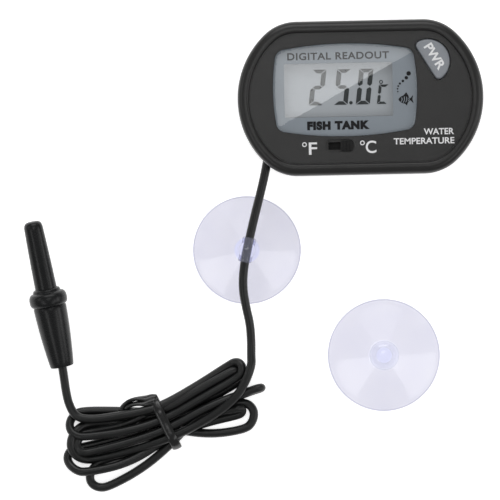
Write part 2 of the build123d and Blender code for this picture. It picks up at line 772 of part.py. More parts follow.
tip_corner_start = probe_length - sleeve_tip_corner
tip_flat_radius = sleeve_tip_radius - sleeve_tip_corner
with BuildPart() as probe_sleeve:
    with BuildSketch(probe_plane):
        with BuildLine():
            Line((sleeve_start, 0), (sleeve_start, sleeve_root_radius))
            Line((sleeve_start, sleeve_root_radius), (step_end, sleeve_root_radius))
            Line((step_end, sleeve_root_radius), (tip_corner_start, sleeve_tip_radius))
            CenterArc((tip_corner_start, tip_flat_radius), sleeve_tip_corner, 90, -90)
            Line((probe_length, tip_flat_radius), (probe_length, 0))
            Line((probe_length, 0), (sleeve_start, 0))
        make_face()
    revolve(axis=probe_axis)
    with BuildSketch(Plane(origin=probe_origin + probe_way * sleeve_start, z_dir=probe_way)):
        Circle(sleeve_bore_radius)
    extrude(amount=probe_length - 2.0 - sleeve_start, mode=Mode.SUBTRACT)
probe_sleeve.part.label = "probe_sleeve"

bead_length, bead_radius = 2.6, 0.9
bead_start = probe_length - 2.2 - bead_length
with BuildPart() as thermistor_bead:
    with BuildSketch(Plane(origin=probe_origin + probe_way * bead_start, z_dir=probe_way)):
        Circle(bead_radius)
    extrude(amount=bead_length)
    fillet(thermistor_bead.edges().filter_by(GeomType.CIRCLE), 0.6)
thermistor_bead.part.label = "thermistor_bead"

with BuildPart() as thermistor_leads:
    with BuildSketch(Plane(origin=probe_origin + probe_way * boot_bore_depth, x_dir=probe_side,
                           z_dir=probe_way)):
        with GridLocations(0.9, 0, 2, 1):
            Circle(0.2)
    extrude(amount=bead_start - boot_bore_depth)
thermistor_leads.part.label = "thermistor_leads"

with BuildPart() as probe_potting:
    with BuildSketch(Plane(origin=probe_origin + probe_way * sleeve_start, z_dir=probe_way)):
        Circle(sleeve_bore_radius)
    extrude(amount=bead_start + 1.2 - sleeve_start)
    add(thermistor_leads.part, mode=Mode.SUBTRACT)
    add(thermistor_bead.part, mode=Mode.SUBTRACT)
probe_potting.part.label = "probe_potting"


# ---------------------------------------------------------------- suction cups
def cap_centre(radius_low, z_low, radius_high, z_high):
    """Height of the centre, on the cup's axis, of a sphere through two rings."""
    return (radius_low**2 + z_low**2 - radius_high**2 - z_high**2) / (2 * (z_low - z_high))


def cup_bell(x, y, rim_radius):
    """The thin bell of a suction cup, rim down, open underneath, with a solid centre."""
    centre_radius = cup_centre_wall_radius
    lip_radius = rim_radius - 0.6
    middle = rim_radius * 0.6
    outer_centre = cap_centre(rim_radius, cup_rim_height, centre_radius, cup_shoulder_z)
    outer_sphere = math.hypot(rim_radius, cup_rim_height - outer_centre)
    inner_centre = cap_centre(lip_radius, 0, 0, cup_hollow_height)
    inner_sphere = cup_hollow_height - inner_centre
    with BuildPart() as bell:
        with BuildSketch(Plane.XZ.offset(-y)):
            with BuildLine():
                Line((x, cup_hollow_height), (x, cup_shoulder_z))
                Line((x, cup_shoulder_z), (x + centre_radius, cup_shoulder_z))
                ThreePointArc(
                    (x + centre_radius, cup_shoulder_z),
                    (x + middle, outer_centre + math.sqrt(outer_sphere**2 - middle**2)),
                    (x + rim_radius, cup_rim_height),
                )
                Line((x + rim_radius, cup_rim_height), (x + rim_radius, 0))
                Line((x + rim_radius, 0), (x + lip_radius, 0))
                ThreePointArc(
                    (x + lip_radius, 0),
                    (x + middle, inner_centre + math.sqrt(inner_sphere**2 - middle**2)),
                    (x, cup_hollow_height),
                )
            make_face()
        revolve(axis=Axis((x, y, 0), (0, 0, 1)))
    return bell.part


cup_way = Vector(*lead_route[0]) - Vector(*lead_route[1])
cup_slide = Vector(cup_way.X, cup_way.Y, 0).normalized()
print("cord cup slides along", [round(value, 4) for value in (cup_slide.X, cup_slide.Y)])
nub_centre = along(lead_route[1], lead_route[0], 6.9)
print("cord at the nub", nub_centre)
with BuildPart() as cord_suction_cup:
    add(cup_bell(cord_cup_x, cord_cup_y, cord_cup_radius))
    with BuildSketch(Plane.XY.offset(cup_shoulder_z)):
        with Locations((cord_cup_x, cord_cup_y)):
            Circle(nub_radius)
    extrude(amount=nub_top_z - cup_shoulder_z)
    fillet(cord_suction_cup.faces().sort_by(Axis.Z)[-1].edges(), 1.0)
    with BuildSketch(Plane(origin=nub_centre, z_dir=cup_way)):
        Circle(nub_hole_radius)
    extrude(amount=6.0, both=True, mode=Mode.SUBTRACT)
cord_suction_cup.part.label = "cord_suction_cup"

with BuildPart() as case_suction_cup:
    add(cup_bell(loose_cup_x, loose_cup_y, loose_cup_radius))
    with BuildSketch(Plane.XY.offset(cup_shoulder_z)):
        with Locations((loose_cup_x, loose_cup_y)):
            Circle(neck_radius)
    extrude(amount=head_bottom_z - cup_shoulder_z)
    with BuildSketch(Plane.XY.offset(head_bottom_z)):
        with Locations((loose_cup_x, loose_cup_y)):
            Circle(head_radius)
    extrude(amount=head_top_z - head_bottom_z, taper=12)
    fillet(case_suction_cup.faces().sort_by(Axis.Z)[-1].edges(), 0.8)
case_suction_cup.part.label = "case_suction_cup"

# ---------------------------------------------------------------- one file for each piece
pieces = [
    rear_cover.part, front_cover.part, battery_door.part, battery_bridge.part,
    window_tape.part, window_mask.part, display_window.part,
    lcd_front_glass.part, lcd_rear_glass.part, lcd_reflector.part, zebra_strip.part, lcd_holder.part,
    circuit_board.part, controller_blob.part, timing_crystal.part, chip_parts.part,
    power_button.part, switch_plunger.part, tact_switch.part,
    unit_slider.part, slide_switch_housing.part,
    case_screws.part, board_screws.part,
    cord_lead, cord_hank.part, cord_tail, cord_tie.part, cord_stop_collar.part, cord_conductors.part,
    probe_boot.part, probe_sleeve.part, thermistor_bead.part, thermistor_leads.part, probe_potting.part,
    cord_suction_cup.part, case_suction_cup.part,
]
pieces += electrics.values()
for piece in pieces:
    export_step(piece, "parts/" + piece.label + ".step")
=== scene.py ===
"""Looks for the digital aquarium thermometer: cord, tie, cups, probe, case, display and print.

The scene is in metres, in the CAD model's frame.  Sizes below are written in millimetres and are
turned into metres by MM and mm().  Colours are linear.
"""
import math

import bmesh
import bpy
from mathutils import Matrix, Vector


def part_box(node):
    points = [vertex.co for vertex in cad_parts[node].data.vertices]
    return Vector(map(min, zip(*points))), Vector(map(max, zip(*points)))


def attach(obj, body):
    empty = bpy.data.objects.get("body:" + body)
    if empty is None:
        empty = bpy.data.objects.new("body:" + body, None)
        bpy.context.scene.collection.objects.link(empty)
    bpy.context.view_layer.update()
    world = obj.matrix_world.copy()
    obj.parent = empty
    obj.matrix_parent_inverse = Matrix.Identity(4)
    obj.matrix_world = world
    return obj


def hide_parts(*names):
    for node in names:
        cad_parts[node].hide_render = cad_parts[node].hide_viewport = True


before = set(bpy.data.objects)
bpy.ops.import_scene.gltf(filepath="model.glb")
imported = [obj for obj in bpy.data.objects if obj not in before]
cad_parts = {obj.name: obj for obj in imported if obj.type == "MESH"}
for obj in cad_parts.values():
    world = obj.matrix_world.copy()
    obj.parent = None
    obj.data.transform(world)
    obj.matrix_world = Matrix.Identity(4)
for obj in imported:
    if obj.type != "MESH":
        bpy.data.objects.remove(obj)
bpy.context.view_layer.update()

MM = 0.001
ROOT = "thermometer"


def mm(*values):
    """A point or a size in millimetres, in metres."""
    return Vector(values) * MM


# ---------------------------------------------------------------- camera, light and floor
view_width = 118.0             # millimetres seen across, at the height of the display
display_z = 12.0
camera_height = 2500.0
camera_x, camera_y = -26.8, -35.4
camera_turn = -0.021           # radians about the vertical
sensor_width = 36.0
clip_near, clip_far = 0.05, 10.0

camera_data = bpy.data.cameras.new("camera")
camera = bpy.data.objects.new("camera", camera_data)
bpy.context.scene.collection.objects.link(camera)
camera.location = mm(camera_x, camera_y, camera_height)
camera.rotation_euler = (0, 0, camera_turn)
camera_data.sensor_width = sensor_width
camera_data.lens = sensor_width * (camera_height - display_z) / view_width
camera_data.clip_start, camera_data.clip_end = clip_near, clip_far
bpy.context.scene.camera = camera
bpy.context.scene.view_settings.view_transform = "Standard"


def area_light(name, place, aim, size, radiance):
    """A soft white light at place that looks at aim; size is (across, up), millimetres."""
    data = bpy.data.lights.new(name, "AREA")
    data.shape = "RECTANGLE"
    data.size, data.size_y = (side * MM for side in size)
    data.energy = radiance * math.pi * data.size * data.size_y
    light = bpy.data.objects.new(name, data)
    bpy.context.scene.collection.objects.link(light)
    light.location = mm(*place)
    light.rotation_euler = (mm(*aim) - mm(*place)).to_track_quat("-Z", "Y").to_euler()
    light.visible_camera = False
    return light


middle = (-25, -35, 0)
area_light("rear", (-60, 640, 440), middle, (700, 320), 2.9)
area_light("top", (-40, 440, 634), middle, (520, 170), 1.1)
area_light("right", (413, -289, 634), middle, (500, 170), 2.2)
area_light("left", (-430, -325, 634), middle, (430, 170), 2.2)
area_light("low_right", (760, -60, 420), middle, (420, 300), 2.4)
area_light("low_left", (-780, 120, 460), middle, (420, 300), 1.2)

# A card straight above, which the display's window mirrors in its upper left part.
glare_height = 900.0
glare_edge = ((-17.4, 3.3), (25.4, 26.3))      # two points of the card's lower right side
glare_depth = 160.0
glare_radiance = 3.0
edge_start, edge_end = (Vector(point) for point in glare_edge)
edge_way = (edge_end - edge_start).normalized()
edge_side = Vector((-edge_way.y, edge_way.x))
glare_centre = (edge_start + edge_end) / 2 + edge_side * glare_depth / 2
glare = area_light("glare", (*glare_centre, glare_height), (*glare_centre, 0),
                   (2 * glare_depth, glare_depth), glare_radiance)
glare.rotation_euler = (0, 0, math.atan2(edge_way.y, edge_way.x))

room_radiance = 0.34
world = bpy.data.worlds.new("studio")
bpy.context.scene.world = world
world.use_nodes = True
background = world.node_tree.nodes["Background"]
background.inputs["Color"].default_value = (1, 1, 1, 1)
background.inputs["Strength"].default_value = room_radiance


# ---------------------------------------------------------------- materials
def material(name):
    """An empty node material: its tree and its Principled shader."""
    made = bpy.data.materials.new(name)
    made.use_nodes = True
    tree = made.node_tree
    return made, tree, tree.nodes["Principled BSDF"]


noise_roughness = 0.55
ramp_low, ramp_high = 0.35, 0.65       # where a colour ramp over noise starts and ends
colour_patches = 0.12          # features per millimetre of the slow change of colour
gloss_spread = 0.06            # how far a moulded surface's roughness strays from its mean
relief_strength = 0.35
metal_shade = 0.8              # a metal's darker tone, as a share of its colour
metal_gloss_spread = 0.08
metal_relief_strength, metal_relief = 0.15, 0.01


def noise(tree, scale, detail):
    """Noise in the object's own space; scale is in features per millimetre."""
    place = tree.nodes.new("ShaderNodeTexCoord")
    node = tree.nodes.new("ShaderNodeTexNoise")
    node.inputs["Scale"].default_value = scale / MM
    node.inputs["Detail"].default_value = detail
    node.inputs["Roughness"].default_value = noise_roughness
    tree.links.new(place.outputs["Object"], node.inputs["Vector"])
    return node.outputs["Fac"]


def ramp(tree, value, low, high):
    """A colour ramp from low to high colour over value."""
    node = tree.nodes.new("ShaderNodeValToRGB")
    node.color_ramp.elements[0].position = ramp_low
    node.color_ramp.elements[1].position = ramp_high
    node.color_ramp.elements[0].color = (*low, 1)
    node.color_ramp.elements[1].color = (*high, 1)
    tree.links.new(value, node.inputs["Fac"])
    return node.outputs["Color"]


def spread(tree, value, low, high, start=0.0, stop=1.0):
    """value from start..stop mapped to low..high."""
    node = tree.nodes.new("ShaderNodeMapRange")
    node.inputs["From Min"].default_value = start
    node.inputs["From Max"].default_value = stop
    node.inputs["To Min"].default_value = low
    node.inputs["To Max"].default_value = high
    tree.links.new(value, node.inputs["Value"])
    return node.outputs["Result"]


def bump(tree, shader, height, strength, depth):
    """Surface relief from height; depth is in millimetres."""
    node = tree.nodes.new("ShaderNodeBump")
    node.inputs["Strength"].default_value = strength
    node.inputs["Distance"].default_value = depth * MM
    tree.links.new(height, node.inputs["Height"])
    tree.links.new(node.outputs["Normal"], shader.inputs["Normal"])


def surface(tree, shader, colour, fine, rough, swing):
    """Links a colour, and a roughness that swings about its mean with the fine noise."""
    tree.links.new(colour, shader.inputs["Base Color"])
    tree.links.new(spread(tree, fine, rough - swing, rough + swing), shader.inputs["Roughness"])


def moulded(name, dark, light, rough, grain=6.0, relief=0.02, spec=0.5):
    """Moulded plastic or rubber: slow colour change, fine grain in gloss and relief."""
    made, tree, shader = material(name)
    fine = noise(tree, grain, 2.0)
    colour = ramp(tree, noise(tree, colour_patches, 4.0), dark, light)
    surface(tree, shader, colour, fine, rough, gloss_spread)
    shader.inputs["Specular IOR Level"].default_value = spec
    bump(tree, shader, fine, relief_strength, relief)
    return made


def metal(name, colour, rough):
    """Plated metal with fine uneven gloss."""
    made, tree, shader = material(name)
    fine = noise(tree, 3.0, 4.0)
    darker = tuple(metal_shade * part for part in colour)
    surface(tree, shader, ramp(tree, fine, darker, colour), fine, rough, metal_gloss_spread)
    shader.inputs["Metallic"].default_value = 1.0
    bump(tree, shader, fine, metal_relief_strength, metal_relief)
    return made


def paint_nodes(finish, slot_name, *nodes):
    """Gives CAD nodes a Blender material."""
    for node in nodes:
        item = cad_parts[node]
        item.data.materials.clear()
        item.data.materials.append(finish)


case_finish = moulded("case_plastic", (0.0140, 0.0138, 0.0136), (0.0168, 0.0165, 0.0163), 0.30,
                      grain=7.0, spec=0.36)
cord_finish = moulded("cord_jacket", (0.005, 0.0055, 0.0055), (0.008, 0.0085, 0.0085), 0.33,
                      grain=4.0, relief=0.015, spec=0.37)
probe_finish = moulded("probe_rubber", (0.005, 0.0055, 0.006), (0.008, 0.0085, 0.009), 0.27,
                       grain=4.0, spec=0.25)
tie_finish = moulded("tie_vinyl", (0.005, 0.0055, 0.0055), (0.008, 0.0085, 0.0085), 0.20, grain=2.5)
button_finish = moulded("button_plastic", (0.23, 0.245, 0.27), (0.25, 0.265, 0.29), 0.35, grain=7.0)
slider_finish = moulded("slider_plastic", (0.006, 0.006, 0.006), (0.010, 0.010, 0.010), 0.40,
                        grain=7.0, spec=0.2)
print_white = moulded("print_white", (0.78, 0.78, 0.79), (0.84, 0.84, 0.85), 0.55,
                      grain=9.0, relief=0.006)
print_black = moulded("print_black", (0.003, 0.003, 0.004), (0.005, 0.005, 0.006), 0.5,
                      grain=9.0, relief=0.006, spec=0.1)
mask_finish = moulded("mask_silver", (0.243, 0.272, 0.301), (0.260, 0.291, 0.322), 0.5,
                      grain=12.0, relief=0.004, spec=0.2)
reflector_painted_glow_finish = moulded("reflector", (0.29, 0.306, 0.326), (0.31, 0.326, 0.346), 0.5,
                           grain=12.0, relief=0.004, spec=0.2)
# The film behind the figures glows a little, evenly. This is painted light: it stands in for the light
# that the film spreads sideways, and it lifts the shade at the edges of its recess.
painted_glow_colour, painted_glow_strength = (0.93, 0.97, 1.0, 1), 0.095
film = reflector_painted_glow_finish.node_tree.nodes["Principled BSDF"]
film.inputs["Emission Color"].default_value = painted_glow_colour
film.inputs["Emission Strength"].default_value = painted_glow_strength
segment_finish = moulded("segment_ink", (0.022, 0.027, 0.028), (0.030, 0.036, 0.037), 0.5,
                         grain=9.0, relief=0.002, spec=0.1)
steel_finish = metal("steel", (0.62, 0.62, 0.60), 0.32)
screw_finish = metal("screw_steel", (0.42, 0.42, 0.42), 0.38)
brass_finish = metal("crimp", (0.62, 0.48, 0.22), 0.35)
white_plastic = moulded("holder_plastic", (0.70, 0.70, 0.68), (0.76, 0.76, 0.74), 0.5)
board_finish = moulded("board", (0.02, 0.13, 0.05), (0.03, 0.17, 0.07), 0.35, grain=3.0)
epoxy_finish = moulded("epoxy", (0.008, 0.008, 0.008), (0.014, 0.014, 0.014), 0.15, grain=1.0)
zebra_finish = moulded("zebra_rubber", (0.04, 0.04, 0.04), (0.06, 0.06, 0.06), 0.6)
chip_finish = moulded("chip_ceramic", (0.08, 0.07, 0.055), (0.12, 0.10, 0.08), 0.5)
wire_finish = moulded("conductor", (0.30, 0.025, 0.025), (0.36, 0.03, 0.03), 0.35)
tape_finish = moulded("tape", (0.70, 0.70, 0.66), (0.75, 0.75, 0.72), 0.6)


def worked_out(tree, kind, operation, *values):
    """A Math or VectorMath node; each value is a plain one or another node's output."""
    node = tree.nodes.new("ShaderNode" + kind)
    node.operation = operation
    for value, socket in zip(values, node.inputs):
        if isinstance(value, bpy.types.NodeSocket):
            tree.links.new(value, socket)
        else:
            socket.default_value = value
    return node


def mirror_share(tree, index):
    """How much a clear surface mirrors: by angle on the way in, nothing on the way out."""
    share = tree.nodes.new("ShaderNodeFresnel")
    share.inputs["IOR"].default_value = index
    side = tree.nodes.new("ShaderNodeNewGeometry")
    front = worked_out(tree, "Math", "SUBTRACT", 1.0, side.outputs["Backfacing"])
    both = worked_out(tree, "Math", "MULTIPLY", share.outputs["Fac"], front.outputs["Value"])
    return both.outputs["Value"]


def mixed(tree, share, first, second):
    """Two shader nodes mixed; share, an output, is the second's part."""
    node = tree.nodes.new("ShaderNodeMixShader")
    tree.links.new(share, node.inputs["Fac"])
    tree.links.new(first.outputs[0], node.inputs[1])
    tree.links.new(second.outputs[0], node.inputs[2])
    return node


plate_index = 1.49
plate_roughness = 0.003
vinyl_index = 1.5


def pane(name, tint):
    """Clear plate: mirrors as its index says and lets light straight through."""
    made, tree, shader = material(name)
    tree.nodes.remove(shader)
    through = tree.nodes.new("ShaderNodeBsdfTransparent")
    through.inputs["Color"].default_value = (*tint, 1)
    gloss = tree.nodes.new("ShaderNodeBsdfGlossy")
    fine = noise(tree, 0.3, 2.0)
    tree.links.new(spread(tree, fine, 0.5 * plate_roughness, plate_roughness),
                   gloss.inputs["Roughness"])
    both = mixed(tree, mirror_share(tree, plate_index), through, gloss)
    tree.links.new(both.outputs["Shader"], tree.nodes["Material Output"].inputs["Surface"])
    return made


# What one surface of a cup lets through: in the solid core, under a head, in the bell, at the rim. The
# rim's darker value is painted shade, for the dark line that the lip's bending of light gives.
vinyl_core = (0.793, 0.80, 0.885)
vinyl_head = (0.905, 0.907, 0.938)
vinyl_bell = (0.820, 0.818, 0.851)
vinyl_edge_painted_shade = (0.70, 0.70, 0.755)
vinyl_milk = (0.80, 0.82, 0.95)
vinyl_cloud = (0.985, 0.985, 0.992)
milk_low, milk_high = 0.03, 0.09       # how milky the bell is, and what stands on it
milk_start, milk_stop = 4.2, 5.2       # the heights between which that changes
rim_mirror = 0.15              # how much of its gloss the rim keeps


def vinyl(name, centre_x, centre_y, rim, neck, middle_radius, middle_tint):
    """Clear soft vinyl of a suction cup: bluish in the thick middle, a darker line of painted shade at
    the rim.
    """
    made, tree, shader = material(name)
    tree.nodes.remove(shader)
    place = tree.nodes.new("ShaderNodeTexCoord").outputs["Object"]
    offset = worked_out(tree, "VectorMath", "SUBTRACT", place, mm(centre_x, centre_y, 0))
    flat = worked_out(tree, "VectorMath", "MULTIPLY", offset.outputs["Vector"], (1, 1, 0))
    reach = worked_out(tree, "VectorMath", "LENGTH", flat.outputs["Vector"]).outputs["Value"]
    tints = tree.nodes.new("ShaderNodeValToRGB")
    stops = tints.color_ramp.elements
    # the last stops darken the tint toward the rim: painted shade
    for radius, tint in ((0.0, vinyl_core), (neck - 0.05, vinyl_core), (neck + 0.05, middle_tint),
                         (middle_radius, middle_tint), (middle_radius + 0.15, vinyl_bell),
                         (rim - 0.5, vinyl_bell), (rim - 0.25, vinyl_edge_painted_shade), (rim, vinyl_edge_painted_shade)):
        stop = stops.new(radius / rim)
        stop.color = (*tint, 1)
    stops.remove(stops[0])
    stops.remove(stops[-1])
    tree.links.new(spread(tree, reach, 0.0, 1.0, 0.0, rim * MM), tints.inputs["Fac"])
    cloudy = tree.nodes.new("ShaderNodeMix")
    cloudy.data_type = "RGBA"
    cloudy.blend_type = "MULTIPLY"
    cloudy.inputs["Factor"].default_value = 1.0
    tree.links.new(tints.outputs["Color"], cloudy.inputs["A"])
    tree.links.new(ramp(tree, noise(tree, 0.16, 3.0), vinyl_cloud, (1, 1, 1)), cloudy.inputs["B"])
    through = tree.nodes.new("ShaderNodeBsdfTransparent")
    tree.links.new(cloudy.outputs["Result"], through.inputs["Color"])
    milk = tree.nodes.new("ShaderNodeBsdfDiffuse")
    milk.inputs["Color"].default_value = (*vinyl_milk, 1)
    height = tree.nodes.new("ShaderNodeSeparateXYZ")
    tree.links.new(offset.outputs["Vector"], height.inputs["Vector"])
    milkiness = spread(tree, height.outputs["Z"], milk_low, milk_high, milk_start * MM,
                       milk_stop * MM)
    gloss = tree.nodes.new("ShaderNodeBsdfGlossy")
    tree.links.new(spread(tree, noise(tree, 0.5, 2.0), 0.06, 0.12), gloss.inputs["Roughness"])
    dulling = spread(tree, reach, 1.0, rim_mirror, (rim - 0.8) * MM, (rim - 0.5) * MM)
    mirror = worked_out(tree, "Math", "MULTIPLY", mirror_share(tree, vinyl_index), dulling)
    whole = mixed(tree, mirror.outputs["Value"], mixed(tree, milkiness, through, milk), gloss)
    tree.links.new(whole.outputs["Shader"], tree.nodes["Material Output"].inputs["Surface"])
    return made


window_finish = pane("window_clear", (0.985, 0.99, 0.995))
glass_finish = pane("display_glass", (0.98, 0.985, 0.985))

floor_glow = 0.7               # lifts the floor to the plain white of a cut-out
floor_half = 1.5               # metres
floor_drop = 0.0001            # metres, so that what lies on the floor doesn't flicker into it


def floor_material():
    """Plain white floor with very faint unevenness."""
    made, tree, shader = material("floor_white")
    slow = noise(tree, 0.004, 2.0)
    colour = ramp(tree, slow, (0.93, 0.93, 0.93), (0.95, 0.95, 0.95))
    tree.links.new(colour, shader.inputs["Base Color"])
    shader.inputs["Roughness"].default_value = 0.9
    shader.inputs["Specular IOR Level"].default_value = 0.0
    shader.inputs["Emission Color"].default_value = (1, 1, 1, 1)
    shader.inputs["Emission Strength"].default_value = floor_glow
    return made


def linked(name, mesh, finish):
    """A mesh as an object in the scene, with its material."""
    item = bpy.data.objects.new(name, mesh)
    bpy.context.scene.collection.objects.link(item)
    mesh.materials.append(finish)
    return item


floor_corners = [(-floor_half, -floor_half, 0), (floor_half, -floor_half, 0),
                 (floor_half, floor_half, 0), (-floor_half, floor_half, 0)]
floor_mesh = bpy.data.meshes.new("floor")
floor_mesh.from_pydata(floor_corners, [], [(0, 1, 2, 3)])
floor = linked("floor", floor_mesh, floor_material())
floor.location.z = -floor_drop


# ---------------------------------------------------------------- mesh helpers
weld_distance = 0.001


def shade(work, smooth_angle):
    """Smooth shading except at edges sharper than the angle, in degrees."""
    limit = math.radians(smooth_angle)
    for edge in work.edges:
        edge.smooth = len(edge.link_faces) == 2 and edge.calc_face_angle(0) < limit
    for face in work.faces:
        face.smooth = True


def mesh_piece(name, verts, faces, finish, body, slot_name, smooth_angle):
    """A mesh object from millimetre points, smooth except at edges sharper than the angle."""
    mesh = bpy.data.meshes.new(name)
    mesh.from_pydata([mm(*v) for v in verts], [], faces)
    work = bmesh.new()
    work.from_mesh(mesh)
    bmesh.ops.remove_doubles(work, verts=work.verts, dist=weld_distance * MM)
    bmesh.ops.recalc_face_normals(work, faces=work.faces)
    shade(work, smooth_angle)
    work.to_mesh(mesh)
    work.free()
    item = linked(name, mesh, finish)
    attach(item, body)
    return item


def join_rings(rings, closed_path=False):
    """Quads between rings of equally many points, with a cap at each open end."""
    count = len(rings[0])
    verts = [point for ring in rings for point in ring]
    faces = []
    pairs = len(rings) if closed_path else len(rings) - 1
    for i in range(pairs):
        a, b = i * count, (i + 1) % len(rings) * count
        faces += [(a + j, a + (j + 1) % count, b + (j + 1) % count, b + j) for j in range(count)]
    if not closed_path:
        faces.append(tuple(reversed(range(count))))
        faces.append(tuple(range(len(verts) - count, len(verts))))
    return verts, faces


def lathe(profile, place, steps=96, closed_profile=False):
    """A turned shape: profile is (radius, height) pairs, place maps the turning axis from +Z."""
    rings = []
    for step in range(steps):
        angle = math.tau * step / steps
        rings.append([tuple(place @ Vector((r * math.cos(angle), r * math.sin(angle), h)))
                      for r, h in profile])
    count = len(profile)
    verts = [point for ring in rings for point in ring]
    faces = []
    spans = count if closed_profile else count - 1
    for i in range(steps):
        a, b = i * count, (i + 1) % steps * count
        faces += [(a + j, b + j, b + (j + 1) % count, a + (j + 1) % count) for j in range(spans)]
    return verts, faces


def smooth_line(points, parts, closed=False):
    """A Catmull-Rom line through points of any dimension."""
    out = []
    count = len(points)
    for i in range(count if closed else count - 1):
        if closed:
            four = [points[(i + k) % count] for k in (-1, 0, 1, 2)]
        else:
            four = [points[min(max(i + k, 0), count - 1)] for k in (-1, 0, 1, 2)]
        for part in range(parts):
            t = part / parts
            out.append(tuple(
                0.5 * (2 * b + (c - a) * t + (2 * a - 5 * b + 4 * c - d) * t * t
                       + (3 * b - a - 3 * c + d) * t ** 3)
                for a, b, c, d in zip(*four)))
    if not closed:
        out.append(tuple(points[-1]))
    return out


# ---------------------------------------------------------------- the cord
cord_radius = 1.04
# The free stretch from the case, through the cup's nub and down, as the spline's control points.
lead_points = [
    (-21.1, -8.5, 6.5),
    (-22.2, -14.3, 6.49),
    (-23.55, -20.2, 6.47),
    (-25.6, -27.6, 6.44),
    (-27.3, -34.4, 6.42),
    (-28.45, -40.0, 6.4),
    (-28.7, -44.5, 5.9),
    (-28.05, -48.8, 5.0),
    (-27.15, -52.9, 4.1),
    (-26.95, -57.0, 3.8),
    (-27.05, -60.8, 4.1),
]
# The last stretch, from the hank up into the probe's boot.
tail_points = [
    (-68.9, -74.1, 3.1),
    (-70.5, -71.0, 3.0),
    (-71.15, -67.6, 2.7),
    (-71.5, -64.4, 2.6),
    (-72.0, -60.9, 2.95),
]

# The hank is a bent bundle: s runs along its middle from the tie, to the right, and n across it.
lowest_z = cord_radius + 0.02
bundle_centre = (-75.38, 4.69)
bundle_radius = 85.06
tie_angle = math.radians(-71.03)


def in_bundle(s, n, z):
    """A point of the hank, in millimetres of the CAD frame."""
    angle = tie_angle + s / bundle_radius
    reach = bundle_radius - n
    x = bundle_centre[0] + reach * math.cos(angle)
    y = bundle_centre[1] + reach * math.sin(angle)
    return (x, y, max(z, lowest_z))


# Where each run passes under the tie, as (n, z), in the order that the cord runs.
tie_slots = [
    (-4.0, 3.05), (2.3, 1.2), (-1.4, 1.3), (-5.2, 1.4), (-3.5, 1.3), (0.4, 1.2),
    (-1.8, 3.05), (4.0, 1.3), (2.4, 3.0), (0.6, 3.05), (3.8, 3.2),
]
# The loops at the hank's two ends, in the order that the cord runs: how far along the tip is, then
# (n, z) halfway out, where the end begins, at the tip, where the end stops, and halfway back.
loops = [
    (-23.0, (-4.1, 1.9), (-4.6, 1.3), (-0.6, 2.8), (4.3, 1.3), (2.6, 1.0)),
    (19.2, (-0.6, 1.0), (-3.2, 1.0), (-6.3, 1.0), (-9.8, 1.0), (-6.7, 1.0)),
    (-19.5, (-4.7, 1.0), (-5.0, 1.0), (-8.9, 1.0), (-11.5, 1.0), (-8.9, 1.0)),
    (17.1, (-1.2, 1.2), (-4.4, 2.3), (-5.3, 1.8), (-5.9, 1.0), (-3.7, 1.0)),
    (-24.0, (-6.9, 2.2), (-7.4, 3.1), (-3.6, 1.0), (-1.3, 1.0), (-0.6, 1.0)),
    (23.5, (-0.8, 1.0), (-3.1, 1.0), (-3.6, 1.9), (-2.9, 2.7), (-0.6, 3.2)),
    (-21.6, (-2.1, 2.9), (-2.7, 2.6), (-0.8, 2.8), (2.2, 1.6), (2.0, 1.9)),
    (21.3, (0.8, 1.0), (0.5, 1.0), (2.5, 2.0), (3.7, 3.0), (3.8, 3.1)),
    (-22.9, (5.6, 1.0), (7.3, 1.0), (4.0, 2.0), (1.1, 3.2), (0.6, 3.4)),
    (22.8, (1.8, 3.3), (1.6, 3.3), (3.7, 3.4), (5.2, 1.9), (4.8, 2.2)),
]
loop_turns = 6                 # points round each loop's end
tip_stretch = 1.1              # how long a loop's round end is, in half widths
outside_line = 1.05            # the spline cuts inside its points, so they lie this much further out
least_half_fold = 1.4          # a loop is at least this wide at its end


def loop_points(loop):
    """One loop: out from the tie, round the end and back, as points of the hank."""
    tip, half_out, leave, end, back, half_back = loop
    middle = [(a + b) / 2 for a, b in zip(leave, back)]
    half = [(a - b) / 2 for a, b in zip(leave, back)]
    half_fold = math.hypot(*half)
    bulb = max(least_half_fold / half_fold, 1.0) - 1.0
    reach = math.copysign(max(half_fold, least_half_fold) * tip_stretch, tip)
    shoulder = tip - reach
    points = [in_bundle(shoulder * 0.5, *half_out)]
    for step in range(loop_turns):
        angle = math.pi * step / (loop_turns - 1)
        share = math.sin(angle)
        side = math.cos(angle) * (1 + bulb * share)
        n, z = (m + side * h + share * (e - m) for m, h, e in zip(middle, half, end))
        points.append(in_bundle(shoulder + reach * share * outside_line, n, z))
    points.append(in_bundle(shoulder * 0.5, *half_back))
    return points


# Where the cord comes onto the bundle and where it leaves it, as (s, n, z).
way_on = [(25.0, 2.3, 4.7), (22.0, 0.1, 4.9), (17.0, -2.4, 4.3), (9.0, -3.4, 3.4)]
way_off = [(-6.0, 4.3, 3.8), (-12.5, 4.7, 3.5), (-17.6, 5.0, 3.3)]


def hank_points():
    """The whole hank: onto the bundle, then tie slot, loop, tie slot, and off it."""
    points = [in_bundle(*point) for point in way_on]
    for slot_place, loop in zip(tie_slots, loops):
        points.append(in_bundle(0, *slot_place))
        points += loop_points(loop)
    points.append(in_bundle(0, *tie_slots[-1]))
    points += [in_bundle(*point) for point in way_off]
    return points


def spline_piece(name, points, radius, finish):
    """A round bar along one open spline whose control points are given, in millimetres."""
    data = bpy.data.curves.new(name, "CURVE")
    data.dimensions = "3D"
    spline = data.splines.new("NURBS")
    spline.points.add(len(points) - 1)
    for place, point in zip(spline.points, points):
        place.co = (*mm(*point), 1)
    spline.order_u = 3
    spline.use_endpoint_u = True
    data.resolution_u = 10
    data.bevel_depth = radius * MM
    data.bevel_resolution = 5
    data.materials.append(finish)
    item = bpy.data.objects.new(name, data)
    bpy.context.scene.collection.objects.link(item)
    return item


cord_points = lead_points + hank_points() + tail_points
cord = spline_piece("cord", cord_points, cord_radius, cord_finish)
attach(cord, ROOT)
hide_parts("cord_lead", "cord_hank", "cord_tail")


# ---------------------------------------------------------------- the tie
band_sides = 16


